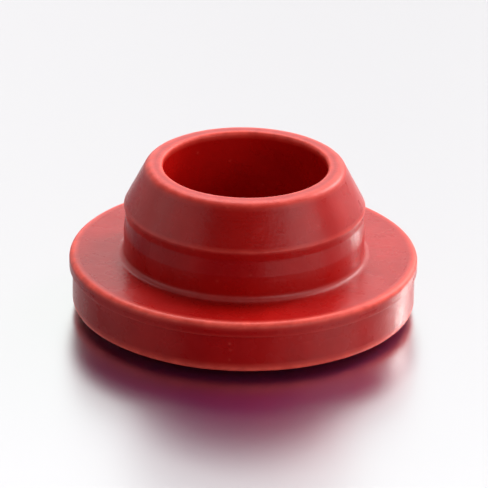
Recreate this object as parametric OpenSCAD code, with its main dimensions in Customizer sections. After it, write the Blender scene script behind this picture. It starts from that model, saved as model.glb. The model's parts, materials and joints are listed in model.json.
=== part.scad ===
// Rubber stopper for a small vial with a 20 mm neck finish.
// One moulding, turned about the Z axis: a flange, whose crown face lies down with two
// target rings standing out of it, and a hollow plug that points up. The rings rest at z = 0.
// All sizes are in millimetres.

/* [Flange] */
// Diameter of the flange at its trimmed rim
flange_d = 18.8; // [15.6:0.1:22.6]
// Thickness of the flange, from the crown face to the seat that lies on the vial
flange_t = 2.9; // [2.4:0.1:4]
// Height of the trimmed rim, measured down from the seat
rim_h = 0.75; // [0.4:0.05:1.2]
// How far the trimmed rim stands out from the moulded wall below it
rim_step = 0.15; // [0.08:0.01:0.3]
// Rounding of the rim's edge at the seat
rim_r = 0.28; // [0.05:0.01:0.3]
// Rounding of the edge between the wall and the crown face
crown_r = 0.35; // [0.1:0.05:0.8]

/* [Target rings] */
// Diameter of the outer ring, measured at its crest
outer_ring_d = 8.7; // [7:0.1:10.4]
// Diameter of the inner ring, measured at its crest
inner_ring_d = 5.05; // [2:0.05:6.1]
// Width of each ring where it leaves the crown face
ring_w = 0.44; // [0.3:0.02:0.8]
// Width of the flat crest of each ring
ring_crest_w = 0.16; // [0.1:0.02:0.24]
// How far the rings stand out from the crown face
ring_h = 0.4; // [0.1:0.05:0.5]

/* [Plug] */
// Diameter of the plug at its straight neck, and of the sealing bead above it
plug_d = 13; // [10.8:0.1:15.7]
// Height of the plug above the seat
plug_h = 5.15; // [4.2:0.05:6.3]
// Rounding between the seat and the neck
foot_r = 0.3; // [0.1:0.05:0.5]
// Height of the sealing bead above the seat
bead_z = 2.8; // [2.3:0.05:3.6]
// Rounding of the sealing bead
bead_r = 0.08; // [0.03:0.01:0.12]
// Depth of the groove under the bead
groove_depth = 0.1; // [0.08:0.01:0.3]
// Height from the bottom of the groove to the bead
groove_to_bead = 0.55; // [0.4:0.05:0.7]
// Height from the top of the neck to the bottom of the groove
neck_to_groove = 0.85; // [0.6:0.05:1.1]
// Width of the lip round the mouth, before its edges are rounded
lip_w = 0.85; // [0.7:0.05:1.1]
// Rounding of the lip's outer edge
lip_r = 0.45; // [0.2:0.05:0.6]

/* [Recess] */
// Diameter of the recess inside the plug
recess_d = 8.9; // [6:0.1:10.7]
// Thickness of the wall that a needle goes through, from the crown face to the recess
membrane_t = 2.3; // [1.6:0.1:3.4]
// Rounding of the lip's inner edge
mouth_r = 0.18; // [0.05:0.01:0.25]
// Rounding between the floor and the wall of the recess
floor_r = 1; // [0.3:0.1:2]

/* [Hidden] */

$fn = 180;
// Straight steps that make up each rounded corner
arc_steps = 8;
// Rounding where each ring meets the crown face, and of each side of its crest
ring_root_r = 0.05;
ring_crest_r = 0.07;
// Rounding in the corner under the rim, and of the rim's lower edge
step_r = 0.04;
// Rounding of the groove's bottom
groove_r = 0.5;

crown_z = ring_h;
seat_z = crown_z + flange_t;
rim_z = seat_z - rim_h;
top_z = seat_z + plug_h;
floor_z = crown_z + membrane_t;

rim_radius = flange_d / 2;
wall_radius = rim_radius - rim_step;
plug_radius = plug_d / 2;
recess_radius = recess_d / 2;
lip_radius = recess_radius + lip_w;

bead_height = seat_z + bead_z;
groove_height = bead_height - groove_to_bead;
neck_height = groove_height - neck_to_groove;

// An outline is a list of corners, each [radius from the axis, height, rounding].
crown_corners = [
    [0, crown_z, 0],
    each ring_corners(inner_ring_d / 2),
    each ring_corners(outer_ring_d / 2),
    [wall_radius, crown_z, crown_r],
];

rim_corners = [
    [wall_radius, rim_z, step_r],
    [rim_radius, rim_z, step_r],
    [rim_radius, seat_z, rim_r],
];

plug_corners = [
    [plug_radius, seat_z, foot_r],
    [plug_radius, neck_height, 0],
    [plug_radius - groove_depth, groove_height, groove_r],
    [plug_radius, bead_height, bead_r],
    [lip_radius, top_z, lip_r],
];

recess_corners = [
    [recess_radius, top_z, mouth_r],
    [recess_radius, floor_z, floor_r],
    [0, floor_z, 0],
];

// Corners of one raised ring on the crown face
function ring_corners(r) = [
    [r - ring_w / 2, crown_z, ring_root_r],
    [r - ring_crest_w / 2, 0, ring_crest_r],
    [r + ring_crest_w / 2, 0, ring_crest_r],
    [r + ring_w / 2, crown_z, ring_root_r],
];

// A vector of length 1 along v
function unit(v) = v / norm(v);

// A corner's place, without its rounding
function place(corner) = [corner[0], corner[1]];

// The turn from angle a to angle b, the short way round
function short_turn(a, b) = (b - a + 540) % 360 - 180;

// Points of the arc that rounds corner b, between the corners a and c
function rounded(a, b, c, r) =
    let (
        to_a = unit(a - b),
        to_c = unit(c - b),
        half = acos(to_a * to_c) / 2,
        centre = b + unit(to_a + to_c) * r / sin(half),
        from_centre = b + to_a * r / tan(half) - centre,
        to_end = b + to_c * r / tan(half) - centre,
        start = atan2(from_centre[1], from_centre[0]),
        turn = short_turn(start, atan2(to_end[1], to_end[0]))
    )
    [
        for (i = [0 : arc_steps])
            centre + r * [cos(start + turn * i / arc_steps), sin(start + turn * i / arc_steps)]
    ];

// Points of a closed outline, with every corner rounded as it asks
function outline(corners) =
    let (count = len(corners))
    [
        for (i = [0 : count - 1])
            let (
                before = place(corners[(i + count - 1) % count]),
                here = place(corners[i]),
                after = place(corners[(i + 1) % count]),
                r = corners[i][2]
            )
            each (r == 0 ? [here] : rounded(before, here, after, r))
    ];

// The whole stopper, crown face down
module stopper() {
    color("#b32d2a")
        rotate_extrude()
            polygon(outline(concat(crown_corners, rim_corners, plug_corners, recess_corners)));
}

stopper();
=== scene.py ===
import json
import math

import bpy
from mathutils import Matrix, Vector, noise


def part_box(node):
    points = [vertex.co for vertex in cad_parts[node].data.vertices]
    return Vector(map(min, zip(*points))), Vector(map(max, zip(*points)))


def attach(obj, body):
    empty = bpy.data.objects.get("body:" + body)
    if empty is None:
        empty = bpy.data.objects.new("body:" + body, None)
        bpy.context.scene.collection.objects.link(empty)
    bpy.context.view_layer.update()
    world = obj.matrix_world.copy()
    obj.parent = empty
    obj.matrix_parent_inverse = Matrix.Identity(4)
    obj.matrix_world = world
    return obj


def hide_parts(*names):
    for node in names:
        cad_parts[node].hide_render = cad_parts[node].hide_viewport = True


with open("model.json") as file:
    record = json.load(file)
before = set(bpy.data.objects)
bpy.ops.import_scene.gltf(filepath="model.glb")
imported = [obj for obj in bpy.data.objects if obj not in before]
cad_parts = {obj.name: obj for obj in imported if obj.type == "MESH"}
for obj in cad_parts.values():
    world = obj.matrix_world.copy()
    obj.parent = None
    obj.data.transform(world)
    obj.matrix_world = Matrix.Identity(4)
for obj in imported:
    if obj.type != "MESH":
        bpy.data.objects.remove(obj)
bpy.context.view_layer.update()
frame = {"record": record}        # one body, "root", and one node, "stopper"

# A red butyl rubber stopper for a small vial. It stands crown face down, with its hollow plug up.
# Sizes are in millimetres, as in the part's own source, until MM turns them to metres.
MM = 0.001

# ---------------------------------------------------------------- sizes

high_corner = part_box("stopper")[1]
mounts = {mount["name"]: mount for mount in frame["record"]["mounts"]}

RIM_R = high_corner.x / MM
TOP_Z = high_corner.z / MM
SEAT_Z = mounts["vial_seat"]["pos_m"][2] / MM
CROWN_Z = mounts["crown_face"]["pos_m"][2] / MM
PLUG_R = mounts["plug"]["dims"]["r_mm"]

RIM_H = 0.75
RIM_STEP = 0.15
RIM_ROUND = 0.28
STEP_ROUND = 0.04
CROWN_ROUND = 0.35
OUTER_RING_D = 8.7
INNER_RING_D = 5.05
RING_W = 0.44
RING_CREST_W = 0.16
RING_ROOT_ROUND = 0.05
RING_CREST_ROUND = 0.07
FOOT_ROUND = 0.3
BEAD_H = 2.8
BEAD_ROUND = 0.08
GROOVE_DEPTH = 0.1
GROOVE_ROUND = 0.5
GROOVE_TO_BEAD = 0.55
NECK_TO_GROOVE = 0.85
LIP_W = 0.85
LIP_ROUND = 0.45
RECESS_D = 8.9
MEMBRANE_T = 2.3
MOUTH_ROUND = 0.18
FLOOR_ROUND = 1.0

WALL_R = RIM_R - RIM_STEP
RIM_Z = SEAT_Z - RIM_H
BEAD_Z = SEAT_Z + BEAD_H
GROOVE_Z = BEAD_Z - GROOVE_TO_BEAD
NECK_Z = GROOVE_Z - NECK_TO_GROOVE
RECESS_R = RECESS_D / 2
LIP_R = RECESS_R + LIP_W
FLOOR_Z = CROWN_Z + MEMBRANE_T

# Mesh steps: along straight stretches, close beside each rounding, and turn per step round it
STRAIGHT_STEP = 0.26
ROUNDING_GUARD = 0.04
ARC_STEP = math.radians(14)
# Points round the stopper. Nearer the axis than HALVING_R there are half as many, and so on inwards.
# There the rings lie evenly from the axis outwards, so that two neighbours differ by one halving at most.
AROUND = 384
HALVING_R = 2.1
FEWEST_AROUND = 12

# The punch that cuts the stopper from its moulded sheet is never quite centred, and its cut wanders.
# The wander is read from the noise round a circle of radius TRIM_NOISE_R, at height TRIM_NOISE_Z.
TRIM_OFF_CENTRE = 0.03
TRIM_HEADING = math.radians(205)
TRIM_WANDER = 0.012
TRIM_NOISE_R, TRIM_NOISE_Z = 2.5, 7.3
# Rubber shrinks unevenly as it cools: soft swells, this far apart and this high. SWELL_NOISE_AT is
# where the origin lies in the noise.
SWELL_SIZE = 3.6
SWELL_HEIGHT = 0.012
SWELL_NOISE_AT = Vector((3.1, 8.7, 1.9))
# How far the rubbed edges, which also carry a painted highlight, and the powder spread from an edge or a
# corner, and how wide both sides of an edge have to be for its mark to be full
EDGE_REACH = 0.1
FULL_MARK_SIDE = 0.5


# ---------------------------------------------------------------- outline

def ring_corners(radius):
    """Corners of one raised target ring on the crown face."""
    half, crest_half = RING_W / 2, RING_CREST_W / 2
    return [
        (radius - half, CROWN_Z, RING_ROOT_ROUND),
        (radius - crest_half, 0, RING_CREST_ROUND),
        (radius + crest_half, 0, RING_CREST_ROUND),
        (radius + half, CROWN_Z, RING_ROOT_ROUND),
    ]


def stopper_corners():
    """The section's corners, (radius, height, rounding), from the crown's middle to the recess's."""
    return [
        (0, CROWN_Z, 0),
        *ring_corners(INNER_RING_D / 2),
        *ring_corners(OUTER_RING_D / 2),
        (WALL_R, CROWN_Z, CROWN_ROUND),
        (WALL_R, RIM_Z, STEP_ROUND),
        (RIM_R, RIM_Z, STEP_ROUND),
        (RIM_R, SEAT_Z, RIM_ROUND),
        (PLUG_R, SEAT_Z, FOOT_ROUND),
        (PLUG_R, NECK_Z, 0),
        (PLUG_R - GROOVE_DEPTH, GROOVE_Z, GROOVE_ROUND),
        (PLUG_R, BEAD_Z, BEAD_ROUND),
        (LIP_R, TOP_Z, LIP_ROUND),
        (RECESS_R, TOP_Z, MOUTH_ROUND),
        (RECESS_R, FLOOR_Z, FLOOR_ROUND),
        (0, FLOOR_Z, 0),
    ]


def place(corner):
    return Vector(corner[:2])


def turn_at(before, here, after):
    """The outline's turn at a corner, in radians: above 0 on an outer edge, below 0 in a hollow."""
    came, goes = place(here) - place(before), place(after) - place(here)
    return math.atan2(came.x * goes.y - came.y * goes.x, came.dot(goes))


def rounded(before, here, after):
    """Points of the arc that rounds a corner, or the corner itself where it is sharp."""
    corner, rounding = place(here), here[2]
    if rounding == 0:
        return [corner]
    to_before = (place(before) - corner).normalized()
    to_after = (place(after) - corner).normalized()
    half = to_before.angle(to_after) / 2
    centre = corner + (to_before + to_after).normalized() * rounding / math.sin(half)
    spoke = corner + to_before * rounding / math.tan(half) - centre
    turn = turn_at(before, here, after)
    steps = max(2, math.ceil(abs(turn) / ARC_STEP))
    return [centre + Matrix.Rotation(turn * i / steps, 2) @ spoke for i in range(steps + 1)]


def straight(start, end):
    """Points between start and end: one close beside each rounding, and the rest evenly spaced."""
    length = (end - start).length
    if length < 3 * ROUNDING_GUARD:
        return []
    # On the axis there is no rounding
    first = ROUNDING_GUARD if start.x > 0 else 0
    last = length - ROUNDING_GUARD if end.x > 0 else length
    count = math.ceil((last - first) / STRAIGHT_STEP)
    ways = [first + (last - first) * i / count for i in range(count + 1)]
    return [start.lerp(end, way / length) for way in ways if 0 < way < length]


def outline(corners):
    """The section's points as (radius, height) vectors, with every corner rounded."""
    points = [place(corners[0])]
    for before, here, after in zip(corners, corners[1:], corners[2:]):
        arc = rounded(before, here, after)
        points += straight(points[-1], arc[0]) + arc
    last = place(corners[-1])
    return points + straight(points[-1], last) + [last]


def proud_along(points, corners):
    """How proud each outline point stands: near 1 on an outer edge, near -1 deep in a corner."""
    marks = []
    for before, here, after in zip(corners, corners[1:], corners[2:]):
        arc = rounded(before, here, after)
        narrow_side = min((place(here) - place(before)).length, (place(after) - place(here)).length)
        strength = min(narrow_side / FULL_MARK_SIDE, 1) * turn_at(before, here, after) / (math.pi / 2)
        marks.append((arc[len(arc) // 2], strength, EDGE_REACH + here[2] / 2))
    return [
        sum(mark * math.exp(-((point - middle).length / reach) ** 2) for middle, mark, reach in marks)
        for point in points
    ]


# ---------------------------------------------------------------- mesh

def trim(angle):
    """How far the punched rim lies outside its true circle at this angle."""
    across, along = TRIM_NOISE_R * math.cos(angle), TRIM_NOISE_R * math.sin(angle)
    wander = noise.noise(Vector((across, along, TRIM_NOISE_Z)))
    return TRIM_OFF_CENTRE * math.cos(angle - TRIM_HEADING) + TRIM_WANDER * wander


def swell(spot):
    """Height of the soft unevenness of moulded rubber at a place."""
    return SWELL_HEIGHT * noise.noise(spot / SWELL_SIZE + SWELL_NOISE_AT)


def points_around(radius):
    """Points in the ring at this radius: halved towards the axis, so that no face is a sliver."""
    if radius == 0:
        return 1
    count, reach = AROUND, HALVING_R
    while radius < reach and count > FEWEST_AROUND:
        count, reach = count // 2, reach / 2
    return count


def turned_ring(point, slope):
    """Places round the stopper for one outline point, with what moulding and punching do to them."""
    trimmed = min(max((point.x - WALL_R) / RIM_STEP, 0), 1)
    count = points_around(point.x)
    spots = []
    for i in range(count):
        angle = 2 * math.pi * i / count
        outwards = Vector((math.cos(angle), math.sin(angle), 0))
        spot = outwards * (point.x + trimmed * trim(angle)) + Vector((0, 0, point.y))
        normal = outwards * slope.y - Vector((0, 0, slope.x))
        spot += normal * swell(spot)
        # A swell never goes below the floor
        spot.z = max(spot.z, 0)
        spots.append(spot)
    return spots


def band(inner, outer):
    """Faces between two rings of vertices. One may have half as many as the other, or be one point."""
    if len(inner) == 1:
        return [(inner[0], outer[(i + 1) % len(outer)], outer[i]) for i in range(len(outer))]
    if len(outer) == 1:
        return [(outer[0], inner[i], inner[(i + 1) % len(inner)]) for i in range(len(inner))]
    count = min(len(inner), len(outer))
    faces = []
    for i in range(count):
        after = (i + 1) % count
        if len(inner) == len(outer):
            faces.append((inner[i], inner[after], outer[after], outer[i]))
        elif len(inner) == count:
            left, middle, right = outer[2 * i], outer[2 * i + 1], outer[2 * after]
            faces.append((inner[i], middle, left))
            faces.append((inner[i], inner[after], middle))
            faces.append((inner[after], right, middle))
        else:
            left, middle, right = inner[2 * i], inner[2 * i + 1], inner[2 * after]
            faces.append((outer[i], left, middle))
            faces.append((outer[i], middle, outer[after]))
            faces.append((outer[after], middle, right))
    return faces


def set_attribute(mesh, name, values):
    """Stores a number on each vertex, for the materials to read."""
    mesh.attributes.new(name, "FLOAT", "POINT").data.foreach_set("value", values)


def build_stopper(moulded, die_cut):
    """The stopper, turned from its outline. Its rim has the die-cut finish, the rest the moulded one."""
    corners = stopper_corners()
    points = outline(corners)
    vertices, faces, finishes, proud, along = [], [], [], [], []
    ring, travelled = [], 0
    for number, (point, how_proud) in enumerate(zip(points, proud_along(points, corners))):
        before, after = points[max(number - 1, 0)], points[min(number + 1, len(points) - 1)]
        travelled += (point - before).length
        spots = turned_ring(point, (after - before).normalized())
        last_ring, ring = ring, range(len(vertices), len(vertices) + len(spots))
        vertices += [spot * MM for spot in spots]
        proud += [how_proud] * len(spots)
        along += [travelled] * len(spots)
        if number:
            made = band(last_ring, ring)
            middle = (before + point) / 2
            punched = middle.x > RIM_R - RIM_STEP / 2 and middle.y < SEAT_Z - RIM_ROUND
            faces += made
            finishes += [int(punched)] * len(made)
    mesh = bpy.data.meshes.new("stopper_rubber")
    mesh.from_pydata(vertices, [], faces)
    mesh.materials.append(moulded)
    mesh.materials.append(die_cut)
    mesh.polygons.foreach_set("material_index", finishes)
    mesh.shade_smooth()
    set_attribute(mesh, "proud", proud)
    set_attribute(mesh, "along", along)
    mesh.update()
    stopper = bpy.data.objects.new("stopper_rubber", mesh)
    bpy.context.scene.collection.objects.link(stopper)
    return stopper


# ---------------------------------------------------------------- rubber

def linear(code):
    """An sRGB hex colour as linear red, green, blue and alpha."""
    channels = [int(code[i:i + 2], 16) / 255 for i in (1, 3, 5)]
    return tuple(c / 12.92 if c <= 0.04045 else ((c + 0.055) / 1.055) ** 2.4 for c in channels) + (1,)


def add_node(tree, kind, inputs=None, **settings):
    """Adds a node with its own settings. inputs are numbers, colours or the outputs of other nodes."""
    node = tree.nodes.new("ShaderNode" + kind)
    for name, value in settings.items():
        setattr(node, name, value)
    for name, value in (inputs or {}).items():
        if isinstance(value, bpy.types.NodeSocket):
            tree.links.new(value, node.inputs[name])
        else:
            node.inputs[name].default_value = value
    return node


def new_material(name):
    """An empty node material, and its tree."""
    material = bpy.data.materials.new(name)
    material.use_nodes = True
    material.node_tree.nodes.clear()
    return material, material.node_tree


# Red butyl rubber is gum, pale clay filler and red pigment, milled together and never quite evenly.
# The eye sees one deep red, with faint clouds in it and a few paler specks of filler.
RED_DEEP = "#A90A07"
RED_LIGHT = "#B7100B"
CLOUD_SIZE = 2.4
FILLER = "#D8564A"
SPECK_SPACING = 0.6
SPECK_RADIUS = 0.13
SPECKS_KEPT = 0.3
SPECK_MOST = 0.35
# Stoppers rub on each other in their bag, which leaves the edges paler and duller. The edge colour is
# also a painted highlight: brighter than the wear alone, it stands in for the shine on the rounded edges
# and on the lip. It starts where an edge stands this proud, and is full at the second number.
RUBBED_AND_HIGHLIT = "#FF5F50"
RUBBED_AND_HIGHLIT_MOST = 0.95
RUBBED_AND_HIGHLIT_FROM, RUBBED_AND_HIGHLIT_FULLY = 0.1, 0.85
MARK_PATCH_SIZE = 0.7
MARK_PATCH_LEAST = 0.5
EDGE_DULLING = 0.25
# Powder that keeps them from sticking stays in the corners
POWDER = "#C98A86"
POWDER_MOST = 0.14
POWDERED_FROM, POWDERED_FULLY = -0.3, -1
POWDER_DULLING = 0.8
# A cured skin has the satin of the mould's blasted steel. Butyl's own IOR is 1.5, but the powder and
# the bloom on its skin make it mirror less.
SATIN_LOW = 0.25
SATIN_HIGH = 0.31
SATIN_PATCH_SIZE = 1.3
RUBBER_IOR = 1.34

# Orange peel, blasting grain and turning marks, each as its spacing and its height. The steel's own
# grain and marks are finer, at about 0.03 mm, and are drawn this coarse so that they show.
PEEL_SIZE, PEEL_HEIGHT = 0.9, 0.007
GRAIN_SIZE, GRAIN_HEIGHT = 0.17, 0.0035
TURNING_PITCH, TURNING_HEIGHT = 0.14, 0.002
# The punch drags the rubber as it cuts, and leaves lines down the rim: noise, drawn out in height
DRAG_SPACING, DRAG_HEIGHT = 0.3, 0.006
DRAG_STRETCH = 0.08
# Nearly all of a noise texture lies between these
LUMPS_LOW, LUMPS_HIGH = 0.3, 0.7


def uneven(tree, spot, size, low, high, detail=2):
    """How the rubber varies from place to place: soft lumps of this size, from low to high."""
    lumps = add_node(tree, "TexNoise", {"Vector": spot, "Scale": 1 / size, "Detail": detail})
    return add_node(tree, "MapRange", {
        "Value": lumps.outputs["Fac"], "From Min": LUMPS_LOW, "From Max": LUMPS_HIGH,
        "To Min": low, "To Max": high,
    }).outputs[0]


def specks(tree, spot):
    """Soft dots of filler, one in each cell that has one, and none in most."""
    cells = add_node(tree, "TexVoronoi", {"Vector": spot, "Scale": 1 / SPECK_SPACING}).outputs
    dot = add_node(tree, "MapRange", {
        "Value": cells["Distance"], "From Min": SPECK_RADIUS / SPECK_SPACING, "From Max": 0,
    }, interpolation_type="SMOOTHSTEP").outputs[0]
    lot = add_node(tree, "SeparateColor", {"Color": cells["Color"]}).outputs[0]
    strength = add_node(tree, "MapRange", {
        "Value": lot, "From Min": SPECKS_KEPT, "From Max": 0, "To Max": SPECK_MOST,
    }).outputs[0]
    return add_node(tree, "Math", {0: dot, 1: strength}, operation="MULTIPLY").outputs[0]


def rubber_look(tree, spot):
    """Colour and roughness of the rubber, wherever it is on the stopper."""
    proud = add_node(tree, "Attribute", attribute_name="proud").outputs["Fac"]
    patches = uneven(tree, spot, MARK_PATCH_SIZE, MARK_PATCH_LEAST, 1, detail=3)
    edge = add_node(tree, "MapRange", {
        "Value": proud, "From Min": RUBBED_AND_HIGHLIT_FROM, "From Max": RUBBED_AND_HIGHLIT_FULLY, "To Max": RUBBED_AND_HIGHLIT_MOST,
    }).outputs[0]
    corner = add_node(tree, "MapRange", {
        "Value": proud, "From Min": POWDERED_FROM, "From Max": POWDERED_FULLY, "To Max": POWDER_MOST,
    }).outputs[0]
    # The rubbed edges' colour is partly real wear and partly a painted highlight along the edges and the
    # lip
    rubbed_and_highlit = add_node(tree, "Math", {0: edge, 1: patches}, operation="MULTIPLY").outputs[0]
    powdered = add_node(tree, "Math", {0: corner, 1: patches}, operation="MULTIPLY").outputs[0]

    # Inputs 6 and 7 of a Mix node are its two colours, and output 2 is the mixed one
    colour = linear(RED_DEEP)
    for share, over in (
        (uneven(tree, spot, CLOUD_SIZE, 0, 1, detail=4), RED_LIGHT),
        (specks(tree, spot), FILLER),
        (rubbed_and_highlit, RUBBED_AND_HIGHLIT),
        (powdered, POWDER),
    ):
        mixed = add_node(tree, "Mix", {"Factor": share, 6: colour, 7: linear(over)}, data_type="RGBA")
        colour = mixed.outputs[2]

    rough = uneven(tree, spot, SATIN_PATCH_SIZE, SATIN_LOW, SATIN_HIGH, detail=3)
    for share, dulling in ((rubbed_and_highlit, EDGE_DULLING), (powdered, POWDER_DULLING)):
        duller = add_node(tree, "Math", {0: share, 1: dulling, 2: rough}, operation="MULTIPLY_ADD")
        rough = duller.outputs[0]
    return colour, rough


def moulded_relief(tree, spot):
    """Orange peel, grain and turning marks, which the rubber takes from its mould."""
    along = add_node(tree, "Attribute", attribute_name="along").outputs["Fac"]
    marks = add_node(tree, "TexNoise", {
        "W": along, "Scale": 1 / TURNING_PITCH, "Detail": 2,
    }, noise_dimensions="1D").outputs["Fac"]
    peel = uneven(tree, spot, PEEL_SIZE, 0, PEEL_HEIGHT)
    grain = uneven(tree, spot, GRAIN_SIZE, 0, GRAIN_HEIGHT)
    skin = add_node(tree, "Math", {0: peel, 1: grain}, operation="ADD").outputs[0]
    turned = add_node(tree, "Math", {0: marks, 1: TURNING_HEIGHT, 2: skin}, operation="MULTIPLY_ADD")
    return turned.outputs[0]


def die_cut_relief(tree, spot):
    """Fine lines down the rim, which the punch leaves."""
    drawn_out = add_node(tree, "VectorMath", {0: spot, 1: (1, 1, DRAG_STRETCH)}, operation="MULTIPLY")
    lines = uneven(tree, drawn_out.outputs[0], DRAG_SPACING, 0, DRAG_HEIGHT, detail=3)
    grain = uneven(tree, spot, GRAIN_SIZE, 0, GRAIN_HEIGHT)
    return add_node(tree, "Math", {0: lines, 1: grain}, operation="ADD").outputs[0]


def rubber(name, add_relief):
    """A rubber finish. add_relief gives the height of its surface in millimetres."""
    material, tree = new_material(name)
    metres = add_node(tree, "TexCoord").outputs["Object"]
    spot = add_node(tree, "VectorMath", {0: metres, "Scale": 1 / MM}, operation="SCALE").outputs[0]
    colour, rough = rubber_look(tree, spot)
    bump = add_node(tree, "Bump", {"Height": add_relief(tree, spot), "Distance": MM}).outputs[0]
    shader = add_node(tree, "BsdfPrincipled", {
        "Base Color": colour, "Roughness": rough, "IOR": RUBBER_IOR, "Normal": bump,
    })
    add_node(tree, "OutputMaterial", {"Surface": shader.outputs[0]})
    return material


# ---------------------------------------------------------------- studio

# Angles are in degrees. Azimuth 0 is the front, -Y, and 90 is +X.
CAMERA_AZIMUTH = -3.2
CAMERA_ELEVATION = 23.9
CAMERA_ROLL = 1.0
CAMERA_DISTANCE = 285.5
CAMERA_AIM_Z = 3.75
LENS = 390
# The nearest and the farthest that the camera sees, in metres
CLIP_START, CLIP_END = 0.01, 4

# What shiny surfaces mirror: a white wall behind, on the right, and a pale horizon all round. Matt
# surfaces get no light from them. WALL_ENDS and WALL_FULL are cosines of the angle from the wall's
# middle, and HORIZON_FULL and HORIZON_ENDS are sines of the elevation.
WALL_AZIMUTH, WALL_ELEVATION = 150, 40
WALL_STRENGTH, FRONT_STRENGTH = 0.98, 0.02
WALL_ENDS, WALL_FULL = -0.1, 0.75
HORIZON_STRENGTH = 1.0
HORIZON_FULL, HORIZON_ENDS = 0.2, 0.6
# A background that a first mirrored ray meets has this ray depth
FIRST_MIRRORED = 2

# Sheet metal, brushed too fine to see, under a lilac lacquer that hides a little of it
METAL = "#C7CBC8"
METAL_ROUGHNESS = 0.3
LACQUER = "#A0529C"
METAL_SHARE = 0.86

FLOOR_RADIUS = 1000
FLOOR_POINTS = 96


def direction(azimuth, elevation):
    """Unit vector towards a place round the object."""
    around, up = math.radians(azimuth), math.radians(elevation)
    return Vector((math.sin(around) * math.cos(up), -math.cos(around) * math.cos(up), math.sin(up)))


def add_camera():
    back = direction(CAMERA_AZIMUTH, CAMERA_ELEVATION)
    aim = Vector((0, 0, CAMERA_AIM_Z))
    data = bpy.data.cameras.new("camera")
    data.lens = LENS
    data.clip_start = CLIP_START
    data.clip_end = CLIP_END
    camera = bpy.data.objects.new("camera", data)
    roll = Matrix.Rotation(math.radians(CAMERA_ROLL), 3, "Z")
    turned = (-back).to_track_quat("-Z", "Y").to_matrix() @ roll
    camera.matrix_world = Matrix.Translation((aim + back * CAMERA_DISTANCE) * MM) @ turned.to_4x4()
    bpy.context.scene.collection.objects.link(camera)
    bpy.context.scene.camera = camera


def add_sun(name, azimuth, elevation, width, strength):
    """A soft white light without falloff, as wide as a softbox that spans this angle."""
    data = bpy.data.lights.new(name, "SUN")
    data.angle = math.radians(width)
    data.energy = strength
    lamp = bpy.data.objects.new(name, data)
    lamp.rotation_mode = "QUATERNION"
    lamp.rotation_quaternion = direction(azimuth, elevation).to_track_quat("Z", "Y")
    bpy.context.scene.collection.objects.link(lamp)


def add_world():
    """White to the camera. Shiny surfaces mirror a bright wall, a pale horizon and a dim front."""
    world = bpy.data.worlds.new("studio")
    world.use_nodes = True
    tree = world.node_tree
    tree.nodes.clear()
    bpy.context.scene.world = world
    towards = add_node(tree, "TexCoord").outputs["Generated"]
    path = add_node(tree, "LightPath").outputs

    facing = add_node(tree, "VectorMath", {
        0: towards, 1: direction(WALL_AZIMUTH, WALL_ELEVATION),
    }, operation="DOT_PRODUCT").outputs["Value"]
    wall = add_node(tree, "MapRange", {
        "Value": facing, "From Min": WALL_ENDS, "From Max": WALL_FULL,
        "To Min": FRONT_STRENGTH, "To Max": WALL_STRENGTH,
    }, interpolation_type="SMOOTHSTEP").outputs[0]

    height = add_node(tree, "SeparateXYZ", {0: towards}).outputs["Z"]
    low = add_node(tree, "MapRange", {
        "Value": height, "From Min": HORIZON_FULL, "From Max": HORIZON_ENDS,
        "To Min": HORIZON_STRENGTH, "To Max": 0,
    }, interpolation_type="SMOOTHSTEP").outputs[0]
    first = add_node(tree, "Math", {
        0: path["Ray Depth"], 1: FIRST_MIRRORED + 0.5,
    }, operation="LESS_THAN").outputs[0]
    horizon = add_node(tree, "Math", {0: low, 1: first}, operation="MULTIPLY").outputs[0]

    room = add_node(tree, "Math", {0: wall, 1: horizon}, operation="MAXIMUM").outputs[0]
    mirrored = add_node(tree, "Math", {
        0: path["Is Glossy Ray"], 1: path["Is Transmission Ray"],
    }, operation="MAXIMUM").outputs[0]
    seen = add_node(tree, "Math", {0: room, 1: mirrored}, operation="MULTIPLY").outputs[0]
    # Inputs 2 and 3 of a Mix node are its two numbers
    strength = add_node(tree, "Mix", {"Factor": path["Is Camera Ray"], 2: seen, 3: 1.0}).outputs[0]
    back = add_node(tree, "Background", {"Color": (1, 1, 1, 1), "Strength": strength})
    add_node(tree, "OutputWorld", {"Surface": back.outputs[0]})


def brushed_metal():
    """Pale metal that blurs what it mirrors, with a lacquer that tints what is dark in it."""
    material, tree = new_material("brushed_metal")
    lacquer = add_node(tree, "BsdfDiffuse", {"Color": linear(LACQUER)}).outputs[0]
    metal = add_node(tree, "BsdfAnisotropic", {
        "Color": linear(METAL), "Roughness": METAL_ROUGHNESS,
    }, distribution="BECKMANN").outputs[0]
    both = add_node(tree, "MixShader", {0: METAL_SHARE, 1: lacquer, 2: metal}).outputs[0]
    add_node(tree, "OutputMaterial", {"Surface": both})
    return material


def add_floor():
    mesh = bpy.data.meshes.new("floor")
    rim = [direction(360 * i / FLOOR_POINTS, 0) * FLOOR_RADIUS * MM for i in range(FLOOR_POINTS)]
    mesh.from_pydata(rim, [], [range(FLOOR_POINTS)])
    mesh.materials.append(brushed_metal())
    floor = bpy.data.objects.new("floor", mesh)
    bpy.context.scene.collection.objects.link(floor)


# ---------------------------------------------------------------- scene

moulded_butyl_rubber = rubber("moulded_butyl_rubber", moulded_relief)
die_cut_butyl_rubber = rubber("die_cut_butyl_rubber", die_cut_relief)
stopper = build_stopper(moulded_butyl_rubber, die_cut_butyl_rubber)
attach(stopper, "root")
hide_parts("stopper")

add_floor()
add_world()
add_camera()
# Azimuth, elevation and width in degrees, and strength
add_sun("key_light", 180, 62, 36, 1.9)
add_sun("window_light", 120, 44, 34, 1.15)
add_sun("mid_light", 184, 44, 34, 0.36)
add_sun("glint_light", 131, 27, 12, 1.1)
add_sun("side_light", 116, 24, 36, 0.45)
add_sun("back_light", 152, 26, 34, 0.35)
add_sun("right_light", 62, 24, 36, 0.75)
add_sun("left_light", 284, 17, 60, 0.55)
add_sun("front_light", 32, 8, 34, 0.64)
add_sun("low_back_light", 180, 8, 30, 0.18)

bpy.context.scene.view_settings.view_transform = "Standard"
